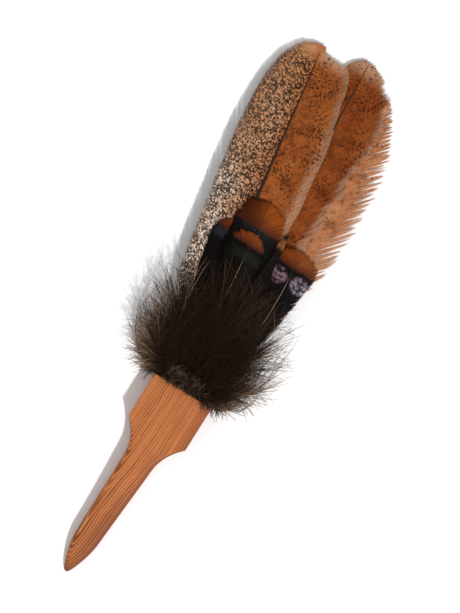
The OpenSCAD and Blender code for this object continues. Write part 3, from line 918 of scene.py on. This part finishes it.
dark_horn = shaft_paint("dark_horn", rgb(30, 22, 19), rgb(44, 28, 20), 160)
warm_horn = shaft_paint("warm_horn", rgb(60, 38, 26), rgb(52, 32, 22), 160)
pale_horn = shaft_paint("pale_horn", rgb(176, 140, 104), rgb(62, 34, 20), 32, down_shade=0.85)
shaded_horn = shaft_paint("shaded_horn", rgb(120, 92, 66), rgb(40, 26, 18), 80, down_shade=0.5)

make_shaft(LEFT, dark_horn, stop=0.98)
make_shaft(MIDDLE, warm_horn)
make_shaft(RIGHT, warm_horn)
for covert in (UPPER, LOWER, OUTER, CENTRE, RIGHT_COVERT):
    seen = covert in (LOWER, RIGHT_COVERT)
    make_shaft(covert, pale_horn if seen else shaded_horn, fine=0.5)

RUST_DEEP, RUST_LIGHT, MARGIN = rgb(120, 56, 15), rgb(164, 92, 42), rgb(218, 180, 148)
mottled = mottled_paint("mottled_barbs")
rufous_left = rufous_paint("rufous_barbs", RUST_DEEP, RUST_LIGHT, MARGIN, 0.72, 0.88, 230, 0.58)
rufous_middle = rufous_paint("rufous_barbs_middle", rgb(96, 34, 2), rgb(148, 76, 28), MARGIN,
                             0.76, 0.93, 240, 0.60)
rufous_right = rufous_paint("pale_rufous_barbs", rgb(158, 92, 50), rgb(196, 136, 94), rgb(208, 164, 130),
                            0.6, 0.9, 230, 0.66)

close_knit = Barbs(lean=1.55, spacing=0.46, width=0.52, height=0.2, split=22, gap=0.02, wide_gap=0.4,
                   wide_share=0.08, ragged=0.004, lift=0.04, tuft=3.5)
short_top = Barbs(lean=0.95, spacing=0.5, width=0.62, height=0.22, split=24, gap=0.0, wide_gap=0.3,
                  wide_share=0.03, ragged=0.005, lift=0.02, top=4.5)
inner_web = Barbs(lean=0.95, spacing=0.5, width=0.62, height=0.22, split=24, gap=0.0, wide_gap=0.3,
                  wide_share=0.03, ragged=0.005, lift=0.02)
loose_web = Barbs(lean=0.95, spacing=0.5, width=0.62, height=0.22, split=7, gap=0.06, wide_gap=0.9,
                  wide_share=0.25, lift=0.08, split_from=0.78, ragged=0.018)
frayed = Barbs(lean=0.92, spacing=0.5, width=0.56, split=5.5, gap=0.8, wide_gap=2.6, wide_share=0.45,
               split_from=0.36, ragged=0.018, lift=0.5, tip_lean=0.7)
make_vane(LEFT, (-1,), close_knit, mottled, "left_feather_left_vane")
make_vane(LEFT, (1,), short_top, rufous_left, "left_feather_right_vane")
make_vane(MIDDLE, (-1,), inner_web, rufous_middle, "middle_feather_left_vane")
make_vane(MIDDLE, (1,), loose_web, rufous_middle, "middle_feather_right_vane")
make_vane(RIGHT, (-1,), inner_web, rufous_middle, "right_feather_left_vane")
make_vane(RIGHT, (1,), frayed, rufous_right, "right_feather_right_vane")

short_web = Barbs(lean=0.8, spacing=0.42, width=0.5, height=0.24, first=34, split=9, gap=0.1, wide_gap=0.5,
                  wide_share=0.15, ragged=0.012, droop=1.2, tip_lean=1.0, points=11)
covert_looks = (
    (UPPER, covert_paint("upper_covert_barbs", 21, rgb(154, 78, 16), rgb(74, 32, 6), rgb(32, 34, 38),
                         sheen_back=2)),
    (LOWER, covert_paint("lower_covert_barbs", 10, rgb(126, 62, 22), rgb(118, 58, 22), rgb(29, 33, 21))),
    (OUTER, covert_paint("outer_covert_barbs", 9, rgb(112, 52, 16), rgb(96, 44, 14), rgb(44, 44, 50),
                         sheen_back=4)),
    (CENTRE, covert_paint("centre_covert_barbs", 1, rgb(150, 84, 38), rgb(60, 30, 16), rgb(150, 92, 48))),
    (RIGHT_COVERT, covert_paint("right_covert_barbs", 14, rgb(136, 72, 28), rgb(122, 60, 20),
                                rgb(22, 20, 20), eye=(23.5, 9.6, 8.2))),
)
for covert, look in covert_looks:
    make_vane(covert, (-1, 1), short_web, look, f"{covert.name}_vane")

# The front and back plumes, from left to right. Each row holds the plume's length as a part of
# PLUME_L, its front barbs, where the shortest of them end, how light its front tips are, and how
# much of the outline its back barbs fill.
PLUME_L = 94
PLUME_ROWS = (
    (0.57, 400, 0.12, 1.0, 0.8),
    (0.86, 620, 0.40, 0.12, 1.0),
    (1.00, 560, 0.12, 0.35, 1.0),
    (0.86, 560, 0.12, 0.4, 0.8),
    (0.57, 280, 0.12, 1.0, 0.5),
)
FRONT_ROW = MID_Z + 4.6
BACK_ROW = MID_Z - 4.1
down = down_paint("dark_down_hairs", rgb(44, 30, 21), rgb(180, 148, 122), 0.05)
for i, (part, barbs, near, glow, back_fill) in enumerate(PLUME_ROWS):
    x = -14 + 7 * i
    angle = (i - 2) * 26
    tip_z = (20, 28) if i < 2 else (15, 27)
    lip, lip_spot = (0.3, (8, 1)) if i == 4 else (0.2, (0, 6))
    make_plume(Plume(f"front_plume_{i + 1}", (x, FRONT_ROW), angle, PLUME_L * part, rise=13, fan=22,
                     barbs=barbs, hairs=18, tip_z=tip_z, bulge=6, near=near, lip=lip,
                     lip_spot=lip_spot, glow=glow), down)
    make_plume(Plume(f"back_plume_{i + 1}", (x, BACK_ROW), angle, PLUME_L * part, rise=-1.6, fan=16,
                     barbs=160, hairs=16, tip_z=(0.8, 5), bulge=0.5, fill=back_fill), down)
for side, name, barbs, fill in ((-1, "side_plume_left", 170, 1.0), (1, "side_plume_right", 120, 0.78)):
    make_plume(Plume(name, (side * 17.5, MID_Z + 0.2), side * 78, 40, rise=0, fan=24,
                     barbs=barbs, hairs=18, tip_z=(4, 19), bulge=3, near=0.2, fill=fill), down)


# ---- Surface, light and camera ----

def make_floor():
    mesh = bpy.data.meshes.new("floor")
    half = 3.0
    corners = [(-half, -half, 0), (half, -half, 0), (half, half, 0), (-half, half, 0)]
    mesh.from_pydata(corners, [], [(0, 1, 2, 3)])
    floor = bpy.data.objects.new("floor", mesh)
    bpy.context.scene.collection.objects.link(floor)
    paint = Paint("pale_floor", 0.9, Specular_IOR_Level=0.1)
    x, y, z = paint.place()
    grain = paint.noise(x, y, z, scale=0.4, detail=3)
    mesh.materials.append(paint.finish(paint.blend(grain, rgb(250, 249, 249), rgb(254, 253, 253))))


def make_light():
    world = bpy.data.worlds.new("studio")
    world.use_nodes = True
    world.node_tree.nodes["Background"].inputs["Color"].default_value = (1.0, 1.0, 1.0, 1.0)
    world.node_tree.nodes["Background"].inputs["Strength"].default_value = 0.58
    bpy.context.scene.world = world
    key = bpy.data.lights.new("key", "SUN")
    key.energy = 2.4
    key.angle = math.radians(3.5)
    lamp = bpy.data.objects.new("key", key)
    bpy.context.scene.collection.objects.link(lamp)
    towards = np.array([12.0, -8.0, 18.0])
    lamp.rotation_euler = (math.atan2(math.hypot(towards[0], towards[1]), towards[2]), 0,
                           math.atan2(towards[0], -towards[1]))


def make_camera():
    """Straight down on the duster, whose handle leans to the lower left of the picture."""
    camera = bpy.data.cameras.new("camera")
    camera.lens = 100
    camera.sensor_width = 36
    height_of_view = 0.470
    holder = bpy.data.objects.new("camera", camera)
    bpy.context.scene.collection.objects.link(holder)
    distance = height_of_view * camera.lens / camera.sensor_width
    holder.location = (-0.0042, 0.0922, distance + MID_Z * MM)
    holder.rotation_euler = (0, 0, math.radians(32.2))
    bpy.context.scene.camera = holder


bpy.context.scene.view_settings.view_transform = "Standard"
make_floor()
make_light()
make_camera()
